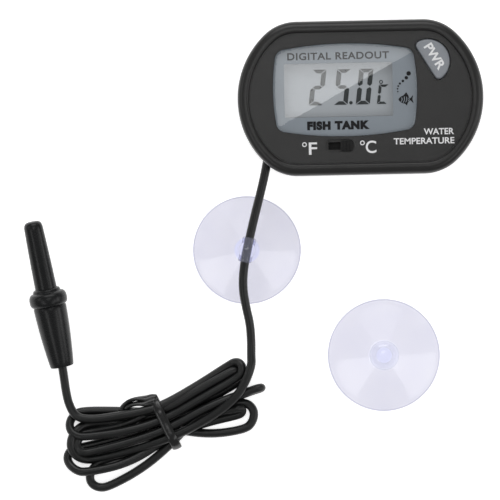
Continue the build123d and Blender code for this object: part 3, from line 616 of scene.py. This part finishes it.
def oval(middle, across, thick, half_width, half_thickness):
    """A band's section: an oval of points round its middle."""
    ring = []
    for k in range(band_sides):
        angle = math.tau * k / band_sides
        ring.append(tuple(middle + across * math.cos(angle) * half_width
                          + thick * math.sin(angle) * half_thickness))
    return ring


def strap(name, line, half_width, half_thickness, lean, finish, slot_name):
    """An oval band along a line; lean gives, at each point, the angle of its width from level."""
    rings = []
    last = len(line) - 1
    for i, point in enumerate(line):
        way = (Vector(line[min(i + 1, last)]) - Vector(line[max(i - 1, 0)])).normalized()
        flat = Vector((0, 0, 1)).cross(way)
        flat = flat.normalized() if flat.length > 0.05 else Vector((1, 0, 0))
        up = way.cross(flat)
        across = flat * math.cos(lean[i]) + up * math.sin(lean[i])
        ends = min(1.0, 0.35 + 0.65 * min(i, last - i) / 2)     # thinner at both ends
        rings.append(oval(Vector(point), across, way.cross(across), half_width * ends,
                          half_thickness * ends))
    return mesh_piece(name, *join_rings(rings), finish, ROOT, slot_name, 60)


# The tie's way round the bundle, as (n, z).
tie_round = [
    (6.5, 1.3), (6.3, 2.6), (5.1, 3.7), (3.2, 4.35), (1.5, 4.4), (-0.3, 4.35), (-2.2, 4.4),
    (-4.1, 4.35), (-5.7, 3.5), (-6.5, 2.4), (-6.7, 1.3), (-6.3, 0.62), (-5.2, 0.42), (0.0, 0.42),
    (5.0, 0.42), (6.1, 0.6),
]
tie_half_width, tie_half_thickness = 1.15, 0.36
tie_start = -0.15              # where it crosses the bundle's middle line
tie_slant = 0.10               # how far it moves back along the bundle per millimetre across

tie_line = [Vector(in_bundle(tie_start - tie_slant * n, n, z))
            for n, z in smooth_line(tie_round, 4, closed=True)]
tie_rings = []
bundle_way = (Vector(in_bundle(1, 0, 0)) - Vector(in_bundle(-1, 0, 0))).normalized()
for i, point in enumerate(tie_line):
    way = (tie_line[(i + 1) % len(tie_line)] - tie_line[i - 1]).normalized()
    across = (bundle_way - way * bundle_way.dot(way)).normalized()
    tie_rings.append(oval(point, across, way.cross(across), tie_half_width, tie_half_thickness))
tie = mesh_piece("cord_tie_band", *join_rings(tie_rings, closed_path=True), tie_finish, ROOT,
                 "tie_plastic", 60)
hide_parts("cord_tie")

# The tie's ends, each twisted and bent over to the left, as (s, n, z).
ear_outer = [
    (0.3, 5.9, 3.2), (-1.0, 6.5, 3.2), (-2.4, 6.8, 3.1), (-3.8, 7.2, 3.0), (-5.3, 7.45, 2.9),
    (-6.8, 7.3, 2.8), (-8.1, 6.7, 2.6), (-9.0, 5.9, 2.5), (-9.3, 5.2, 2.6),
]
ear_inner = [
    (-0.3, 5.3, 3.9), (-1.8, 5.7, 3.7), (-3.4, 5.9, 3.5), (-5.0, 6.3, 3.3), (-7.0, 6.3, 3.1),
    (-8.6, 5.5, 3.1),
]
ear_half_width, ear_half_thickness = 0.95, 0.5
for ear_name, ear_points, ear_twist in (("tie_end_outer", ear_outer, 1.0),
                                        ("tie_end_inner", ear_inner, 0.6)):
    ear_line = smooth_line([in_bundle(*point) for point in ear_points], 5)
    lean = [ear_twist * math.pi * i / (len(ear_line) - 1) for i in range(len(ear_line))]
    strap(ear_name, ear_line, ear_half_width, ear_half_thickness, lean,
                            tie_finish, "tie_plastic")

# ---------------------------------------------------------------- the probe
probe_rear = Vector((-71.85, -62.03, 2.86))
probe_way = Vector((-0.1793, 0.9769, 0.1163)).normalized()
probe_place = Matrix.Translation(probe_rear) @ probe_way.to_track_quat("Z", "Y").to_matrix().to_4x4()
boot_profile = [
    (1.06, 4.2), (1.06, 0.3), (1.2, 0.05), (1.45, 0.0), (2.45, 0.0), (2.7, 0.08), (2.82, 0.35),
    (2.98, 1.6), (3.16, 3.2), (3.36, 5.2), (3.55, 7.3), (3.71, 9.5), (3.83, 11.7), (3.9, 13.6),
    (3.92, 14.35), (3.84, 14.62), (3.76, 14.74), (3.84, 14.88), (4.1, 15.0), (4.34, 15.28),
    (4.48, 15.7), (4.52, 16.2), (4.5, 16.8), (4.4, 17.3), (4.18, 17.74), (3.88, 18.0),
    (3.55, 18.1), (3.38, 18.14), (3.3, 18.24), (3.27, 18.4), (3.2, 18.66), (3.04, 18.86),
    (2.8, 18.96), (2.62, 18.97), (2.54, 18.85), (2.5, 17.2),
]
sleeve_profile = [
    (2.4, 17.4), (2.58, 18.6), (2.57, 19.2), (2.54, 22.0), (2.49, 25.0), (2.42, 28.0), (2.34, 31.0),
    (2.27, 33.4), (2.22, 34.0), (2.12, 34.42), (1.92, 34.8), (1.62, 35.06), (1.24, 35.2),
    (0.8, 35.26), (0.4, 35.28), (0.0, 35.28),
]
boot = mesh_piece("probe_boot_rubber", *lathe(boot_profile, probe_place), probe_finish, ROOT,
                  "probe_rubber", 40)
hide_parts("probe_boot")
sleeve = mesh_piece("probe_sleeve_cap", *lathe(sleeve_profile, probe_place), probe_finish, ROOT,
                    "probe_rubber", 40)
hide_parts("probe_sleeve")

# ---------------------------------------------------------------- suction cups
hollow_steps, bell_steps, cup_sides = 12, 14, 128
hollow_curve, bell_curve = 1.25, 1.08


def cup_profile(rim, neck, top):
    """A cup's half section, from the middle of its hollow round the lip and up to its neck."""
    flat, flat_z = 2.2, 2.22                   # where the hollow's flat middle ends
    outer, inner = rim - 0.6, neck + 1.5       # the bell's slope lies between these
    outer_z, inner_z = 0.8, 4.0
    rings = [(0.0, 2.3), (1.0, 2.29), (flat, flat_z)]
    for k in range(1, hollow_steps):
        r = flat + (rim - 3.4) * k / hollow_steps
        rings.append((r, flat_z * (1 - ((r - flat) / (rim - 3.0)) ** hollow_curve) + 0.05))
    rings += [(rim - 0.7, 0.02), (rim - 0.32, 0.0), (rim - 0.1, 0.05), (rim, 0.22),
              (rim - 0.01, 0.48), (rim - 0.12, 0.66), (rim - 0.35, 0.76)]
    for k in range(bell_steps + 1):
        r = outer - (outer - inner) * k / bell_steps
        share = ((outer - r) / (outer - inner)) ** bell_curve
        rings.append((r, outer_z + (inner_z - outer_z) * share))
    rings += [(neck + 0.85, 4.22), (neck + 0.35, 4.45), (neck + 0.08, 4.8), (neck, 5.2)]
    return rings + top


loose_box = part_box("case_suction_cup")
cord_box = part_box("cord_suction_cup")


def box_middle(box):
    """The middle of a node's box in the plane, and half its width, in millimetres."""
    low, high = box
    return ((low[0] + high[0]) / 2 / MM, (low[1] + high[1]) / 2 / MM, (high[0] - low[0]) / 2 / MM)


loose_neck, cupped_neck = 1.85, 1.95
loose_shift_x, loose_shift_y = 0.2, -0.26      # from the CAD cup's middle
loose_x, loose_y, loose_rim = box_middle(loose_box)
loose_x, loose_y = loose_x + loose_shift_x, loose_y + loose_shift_y
cupped_x, cupped_y, cupped_rim = box_middle(cord_box)

head_top = [
    (1.85, 5.9), (1.9, 6.2), (2.05, 6.36), (2.4, 6.42), (3.1, 6.44), (3.38, 6.55), (3.5, 6.8),
    (3.5, 7.25), (3.42, 7.7), (3.2, 8.2), (2.85, 8.65), (2.35, 9.02), (1.7, 9.26), (0.9, 9.38),
    (0.0, 9.4),
]
loose_place = Matrix.Translation(Vector((loose_x, loose_y, 0)))
loose_profile = cup_profile(loose_rim, loose_neck, head_top)
loose_vinyl = vinyl("loose_cup_vinyl", loose_x, loose_y, loose_rim, loose_neck, 3.5, vinyl_head)
loose_cup = mesh_piece("loose_cup_vinyl", *lathe(loose_profile, loose_place, cup_sides),
                       loose_vinyl, "loose_cup", "cup_vinyl", 50)
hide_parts("case_suction_cup")

nub_top = [(1.95, 6.2), (1.9, 6.9), (1.7, 7.5), (1.2, 7.9), (0.6, 8.02), (0.0, 8.05)]
cupped_place = Matrix.Translation(Vector((cupped_x, cupped_y, 0)))
cupped_profile = cup_profile(cupped_rim, cupped_neck, nub_top)
cupped_vinyl = vinyl("cord_cup_vinyl", cupped_x, cupped_y, cupped_rim, cupped_neck, 2.9, vinyl_core)
cord_cup = mesh_piece("cord_cup_vinyl", *lathe(cupped_profile, cupped_place, cup_sides),
                      cupped_vinyl, "cord_cup", "cup_vinyl", 50)
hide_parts("cord_suction_cup")

# The cord goes through a short sleeve on top of its cup.
cord_axis_z = 6.42
nub_middle = Vector((cupped_x, cupped_y, cord_axis_z)) + Vector((0.03, 0.02, 0))
nub_way = Vector((0.2322, 0.9727, 0.0)).normalized()       # along the cord
nub_place = Matrix.Translation(nub_middle) @ nub_way.to_track_quat("Z", "Y").to_matrix().to_4x4()
nub_half, nub_radius, nub_hole = 3.0, 1.6, 1.13
nub_sides = 64


def cutter(name, verts, faces):
    """A mesh object used by one boolean and then removed."""
    mesh = bpy.data.meshes.new(name)
    mesh.from_pydata([mm(*v) for v in verts], [], faces)
    work = bmesh.new()
    work.from_mesh(mesh)
    bmesh.ops.recalc_face_normals(work, faces=work.faces)
    work.to_mesh(mesh)
    work.free()
    item = bpy.data.objects.new(name, mesh)
    bpy.context.scene.collection.objects.link(item)
    return item


def evaluated_mesh(item):
    """A new mesh of what an object looks like with its modifiers or its text."""
    graph = bpy.context.evaluated_depsgraph_get()
    return bpy.data.meshes.new_from_object(item.evaluated_get(graph))


def boolean(piece, tool, operation):
    """Applies one boolean to a piece's mesh and removes the tool."""
    change = piece.modifiers.new("cut", "BOOLEAN")
    change.operation = operation
    change.object = tool
    change.solver = "EXACT"
    result = evaluated_mesh(piece)
    piece.modifiers.clear()
    piece.data = result
    spare = tool.data
    bpy.data.objects.remove(tool)
    bpy.data.meshes.remove(spare)


def shade_again(piece, smooth_angle):
    """Shading by edge angle for a piece whose mesh has changed."""
    work = bmesh.new()
    work.from_mesh(piece.data)
    shade(work, smooth_angle)
    work.to_mesh(piece.data)
    work.free()


sleeve_section = [
    (0.0, -nub_half), (nub_radius - 0.35, -nub_half), (nub_radius - 0.1, -nub_half + 0.1),
    (nub_radius, -nub_half + 0.35), (nub_radius, nub_half - 0.35), (nub_radius - 0.1, nub_half - 0.1),
    (nub_radius - 0.35, nub_half), (0.0, nub_half),
]
boolean(cord_cup, cutter("sleeve", *lathe(sleeve_section, nub_place, nub_sides)), "UNION")
hole_half = nub_half + 1
hole_section = [(0.0, -hole_half), (nub_hole, -hole_half), (nub_hole, hole_half), (0.0, hole_half)]
boolean(cord_cup, cutter("hole", *lathe(hole_section, nub_place, nub_sides)), "DIFFERENCE")
shade_again(cord_cup, 40)


# ---------------------------------------------------------------- window and display
settling_steps, settling_rate = 40, 0.9


def bowed_outline(half_x, half_y, bow_x, bow_y, corner, grow):
    """A rectangle with bowed sides and round corners, about the origin, anticlockwise."""
    parts = 10                 # per side and per corner of one quarter
    radius_y = (half_x ** 2 + bow_y ** 2) / (2 * bow_y)       # top and bottom sides
    radius_x = (half_y ** 2 + bow_x ** 2) / (2 * bow_x)       # left and right sides
    top_middle = half_y + bow_y - radius_y
    end_middle = half_x + bow_x - radius_x
    # The centre of the corner's circle is found by steps: its distances from the centres of the
    # two sides' circles are known.
    reach_y, reach_x = radius_y - corner, radius_x - corner
    x, y = half_x - corner, half_y - corner
    for _ in range(settling_steps):
        error_y = math.hypot(x, y - top_middle) - reach_y
        error_x = math.hypot(x - end_middle, y) - reach_x
        y -= error_y * settling_rate
        x -= error_x * settling_rate
    end_angle = math.atan2(y, x - end_middle)
    top_angle = math.atan2(y - top_middle, x)
    quarter = []

    def arc(centre, radius, start, stop, steps):
        for k in steps:
            angle = start + (stop - start) * k / parts
            quarter.append((centre[0] + (radius + grow) * math.cos(angle),
                            centre[1] + (radius + grow) * math.sin(angle)))

    arc((end_middle, 0), radius_x, 0, end_angle, range(parts + 1))
    arc((x, y), corner, end_angle, top_angle, range(1, parts))
    arc((0, top_middle), radius_y, top_angle, math.pi / 2, range(parts + 1))
    left = [(-px, py) for px, py in reversed(quarter[:-1])]
    upper = quarter + left
    lower = [(px, -py) for px, py in reversed(upper[1:-1])]
    return upper + lower


window_x, window_y = -3.6, 1.9
window_half_x, window_half_y = 16.1, 9.4       # to the corners of the plain rectangle
window_bow_x, window_bow_y = 0.9, 1.55
window_corner = 2.4


def window_ring(grow, z):
    """The window's outline, grown, at a height."""
    outline = bowed_outline(window_half_x, window_half_y, window_bow_x, window_bow_y, window_corner,
                            grow)
    return [(window_x + px, window_y + py, z) for px, py in outline]


# The last ring keeps the flat top's shading flat.
pane_rings = [window_ring(-0.06, 14.09), window_ring(-0.06, 14.8), window_ring(-0.12, 14.98),
              window_ring(-0.28, 15.08), window_ring(-0.5, 15.1), window_ring(-0.6, 15.1)]
pane_piece = mesh_piece("window_pane", *join_rings(pane_rings), window_finish, ROOT, "window_clear", 50)
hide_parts("display_window")


def lets_light_in(piece):
    """Lamps and the room light what is behind this clear piece as if it weren't there."""
    piece.visible_shadow = False
    piece.visible_diffuse = False


lets_light_in(pane_piece)


def slab(name, low, high, finish, slot_name):
    """A flat plate with small chamfers, from corner to corner in millimetres."""
    soft = 0.12

    def ring(inset, z):
        x0, y0, x1, y1 = low[0] + inset, low[1] + inset, high[0] - inset, high[1] - inset
        return [(x0 + soft, y0, z), (x1 - soft, y0, z), (x1, y0 + soft, z), (x1, y1 - soft, z),
                (x1 - soft, y1, z), (x0 + soft, y1, z), (x0, y1 - soft, z), (x0, y0 + soft, z)]
    rings = [ring(soft, low[2]), ring(0, low[2] + soft), ring(0, high[2] - soft), ring(soft, high[2])]
    return mesh_piece(name, *join_rings(rings), finish, ROOT, slot_name, 20)


def plate_of(node, name, lift_low, lift_high, finish, slot_name):
    """A chamfered glass plate in a CAD plate's place, with its faces moved by the lifts."""
    low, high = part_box(node)
    low, high = Vector(low) / MM, Vector(high) / MM
    piece = slab(name, (low.x, low.y, low.z + lift_low), (high.x, high.y, high.z + lift_high),
                 finish, slot_name)
    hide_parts(node)
    return piece


lets_light_in(plate_of("lcd_front_glass", "display_front_glass", 0.04, 0.0, glass_finish,
                       "display_glass"))
# The rear plate carries the frosted film that the figures are seen against, with the film's painted
# glow.
plate_of("lcd_rear_glass", "display_rear_glass", 0.03, -0.04, reflector_painted_glow_finish, "display_back")


print_depth = 0.012


def extruded(name, outlines, z, finish, body, slot_name, depth=print_depth):
    """Flat shapes with a little thickness, from outlines in millimetres."""
    verts, faces = [], []
    for outline in outlines:
        start, count = len(verts), len(outline)
        verts += [(px, py, z) for px, py in outline] + [(px, py, z + depth) for px, py in outline]
        faces.append(tuple(reversed(range(start, start + count))))
        faces.append(tuple(range(start + count, start + 2 * count)))
        for k in range(count):
            m = (k + 1) % count
            faces.append((start + k, start + m, start + count + m, start + count + k))
    return mesh_piece(name, verts, faces, finish, body, slot_name, 30)


def figure(bars, x, y, width, height, upright, level, slant, gap):
    """Outlines of a seven-segment figure's bars, leaning right, with mitred ends.

    upright and level are the bars' thicknesses, and gap is what parts their ends.
    """
    half, mid = level / 2, height / 2
    inner = upright + gap / 2
    shapes = {
        "top": [(gap, height), (width - gap, height), (width - inner, height - level),
                (inner, height - level)],
        "bottom": [(gap, 0), (inner, level), (width - inner, level), (width - gap, 0)],
        "middle": [(gap + half, mid), (upright, mid + half), (width - upright, mid + half),
                   (width - gap - half, mid), (width - upright, mid - half), (upright, mid - half)],
        "upper_left": [(0, height - gap), (upright, height - level - gap),
                       (upright, mid + half + gap), (half, mid + gap), (0, mid + gap + half)],
        "lower_left": [(0, gap), (0, mid - gap - half), (half, mid - gap),
                       (upright, mid - half - gap), (upright, level + gap)],
    }
    shapes["upper_right"] = [(width - px, py) for px, py in reversed(shapes["upper_left"])]
    shapes["lower_right"] = [(width - px, py) for px, py in reversed(shapes["lower_left"])]
    return [[(x + px + slant * py, y + py) for px, py in shapes[bar]] for bar in bars]


digit_width, digit_height, digit_slant, bar_gap = 3.35, 8.4, 0.125, 0.13
upright_bar, level_bar = 1.12, 0.86
digits_y = -1.6
two = ("top", "upper_right", "middle", "lower_left", "bottom")
five = ("top", "upper_left", "middle", "lower_right", "bottom")
zero = ("top", "upper_left", "upper_right", "lower_left", "lower_right", "bottom")
letter = ("top", "upper_left", "lower_left", "bottom")
segments = []
for bars, digit_x in ((two, -12.25), (five, -6.4), (zero, -1.15)):
    segments += figure(bars, digit_x, digits_y, digit_width, digit_height, upright_bar, level_bar,
                       digit_slant, bar_gap)
segments += figure(letter, 3.85, digits_y, 2.4, 4.6, 0.72, 0.58, digit_slant, 0.08)


disc_sides, ring_sides = 24, 32


def disc(x, y, radius):
    """A circle's outline."""
    angles = [math.tau * k / disc_sides for k in range(disc_sides)]
    return [(x + radius * math.cos(angle), y + radius * math.sin(angle)) for angle in angles]


segments.append(disc(-2.25, digits_y + 0.45, 0.42))
ink_z = 11.9
extruded("display_figures", segments, ink_z, segment_finish, ROOT, "display_glass")


def ring_piece(name, x, y, outer, inner, z, finish, body, slot_name):
    """A flat ring with a little thickness."""
    place = Matrix.Translation(Vector((x, y, z)))
    section = [(inner, 0), (outer, 0), (outer, print_depth), (inner, print_depth)]
    return mesh_piece(name, *lathe(section, place, ring_sides, closed_profile=True), finish, body,
                      slot_name, 30)


ring_piece("display_degree", 4.95, 3.6, 0.46, 0.24, ink_z, segment_finish, ROOT, "display_glass")


# ---------------------------------------------------------------- print
def lettering(name, text, centre, height, width, z, finish, body, weight, turn=0.0,
              spacing=1.0):
    """Printed text as thin solids, scaled to a cap height and a width.

    weight thickens the letters, in the font's own units; turn is in radians.
    """
    data = bpy.data.curves.new(name, "FONT")
    data.body = text
    data.extrude = 0.002       # any thickness will do: it is scaled to the print's below
    data.offset = weight
    data.space_character = spacing
    data.resolution_u = 6
    source = bpy.data.objects.new(name, data)
    bpy.context.scene.collection.objects.link(source)
    mesh = evaluated_mesh(source)
    bpy.data.objects.remove(source)
    bpy.data.curves.remove(data)
    low = Vector(min(v.co[k] for v in mesh.vertices) for k in range(3))
    high = Vector(max(v.co[k] for v in mesh.vertices) for k in range(3))
    middle_point = (low + high) / 2
    scale = Vector((width / (high.x - low.x), height / (high.y - low.y),
                    print_depth / (high.z - low.z))) * MM
    place = (Matrix.Translation(mm(centre[0], centre[1], z + print_depth / 2))
             @ Matrix.Rotation(turn, 4, "Z"))
    for vertex in mesh.vertices:
        offset = vertex.co - middle_point
        vertex.co = place @ Vector(offset[k] * scale[k] for k in range(3))
    item = linked(name, mesh, finish)
    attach(item, body)
    return item


print_z = 14.06                # on the mask, under the window
face_z = 15.2                  # on the case's front
button_z = 15.9
lettering("print_window_top", "DIGITAL READOUT", (-5.08, 9.95), 1.75, 24.0, print_z, print_black,
          ROOT, weight=0.026, spacing=1.1)
lettering("print_window_bottom", "FISH TANK", (-5.33, -6.44), 2.1, 14.75, print_z, print_black,
          ROOT, weight=0.078, spacing=1.15)
lettering("print_case_upper", "WATER", (18.3, -8.35), 1.5, 7.1, face_z, print_white, ROOT,
          weight=0.02)
lettering("print_case_lower", "TEMPERATURE", (14.76, -10.52), 1.5, 14.3, face_z, print_white, ROOT,
          weight=0.02)
lettering("print_fahrenheit", "F", (-11.46, -11.81), 2.9, 1.95, face_z, print_white, ROOT,
          weight=0.012)
lettering("print_celsius", "C", (2.23, -11.69), 2.95, 2.5, face_z, print_white, ROOT,
          weight=0.012)
ring_piece("print_fahrenheit_degree", -13.44, -10.84, 0.56, 0.33, face_z, print_white, ROOT,
           "case_plastic")
ring_piece("print_celsius_degree", 0.22, -10.71, 0.56, 0.33, face_z, print_white, ROOT,
           "case_plastic")
lettering("print_power", "PWR", (17.7, 9.3), 2.2, 6.6, button_z, print_white, "power_button",
          turn=math.radians(-58.6), weight=0.03)

# A fish and its bubbles, the bubbles as (x, y, radius).
bubbles = [(11.47, 5.45, 0.53), (10.9, 4.44, 0.42), (10.08, 3.7, 0.32), (9.36, 3.1, 0.26),
           (8.95, 2.51, 0.22), (8.79, 1.88, 0.19), (8.83, 1.22, 0.17)]
extruded("print_bubbles", [disc(*bubble) for bubble in bubbles], print_z, print_black, ROOT,
         "mask_print")
fish_x, fish_y = 10.7, -0.7
fish_line = smooth_line([
    (-1.75, 0.05), (-1.1, 0.75), (-0.2, 1.05), (0.55, 0.75), (1.0, 0.28), (1.7, 1.0), (1.55, 0.1),
    (1.75, -0.85), (1.0, -0.2), (0.5, -0.7), (-0.25, -0.95), (-1.15, -0.65),
], 4, closed=True)
fin_line = [(-0.7, 0.85), (0.1, 1.75), (0.75, 0.7)]
low_fin_line = [(-0.3, -0.85), (0.2, -1.45), (0.5, -0.6)]
extruded("print_fish", [[(fish_x + px, fish_y + py) for px, py in line]
                        for line in (fish_line, fin_line, low_fin_line)],
         print_z, print_black, ROOT, "mask_print")
stripe_lean, stripe_half, stripe_bend, stripe_depth = 0.16, 0.09, 0.19, 0.006
stripes = [[(fish_x + px + stripe_lean * py, fish_y + py) for px, py in
            [(at - stripe_half, -reach), (at + stripe_half, -reach),
             (at + stripe_half + stripe_bend, 0.0), (at + stripe_half, reach),
             (at - stripe_half, reach), (at - stripe_half + stripe_bend, 0.0)]]
           for at, reach in ((-1.05, 0.5), (-0.5, 0.72), (0.05, 0.66), (0.6, 0.4))]
extruded("print_fish_stripes", stripes, print_z + print_depth, mask_finish, ROOT, "mask_print",
         depth=stripe_depth)

# ---------------------------------------------------------------- CAD nodes that keep their shape
for finish, slot_name, *nodes in (
    (case_finish, "case_plastic", "rear_cover", "front_cover", "battery_door"),
    (mask_finish, "mask_print", "window_mask"),
    (tape_finish, "tape", "window_tape"),
    # the reflector's finish carries the film's painted glow
    (reflector_painted_glow_finish, "display_back", "lcd_reflector"),
    (zebra_finish, "zebra_rubber", "zebra_strip"),
    (white_plastic, "holder_plastic", "lcd_holder"),
    (board_finish, "board", "circuit_board"),
    (epoxy_finish, "epoxy", "controller_blob"),
    (steel_finish, "metal_can", "timing_crystal"),
    (slider_finish, "metal_can", "slide_switch_housing"),
    (chip_finish, "chip_ceramic", "chip_parts"),
    (button_finish, "button_plastic", "power_button"),
    (slider_finish, "switch_plastic", "switch_plunger", "tact_switch"),
    (slider_finish, "slider_plastic", "unit_slider"),
    (steel_finish, "cell_steel", "battery_cell_left", "battery_cell_right"),
    (steel_finish, "contact_metal", "contact_positive", "contact_negative", "battery_bridge"),
    (screw_finish, "screw_steel", "case_screws", "board_screws"),
    (brass_finish, "crimp", "cord_stop_collar"),
    (wire_finish, "conductor", "cord_conductors"),
    (epoxy_finish, "bead_glass", "thermistor_bead"),
    (steel_finish, "lead_wire", "thermistor_leads"),
    (epoxy_finish, "potting", "probe_potting"),
):
    paint_nodes(finish, slot_name, *nodes)
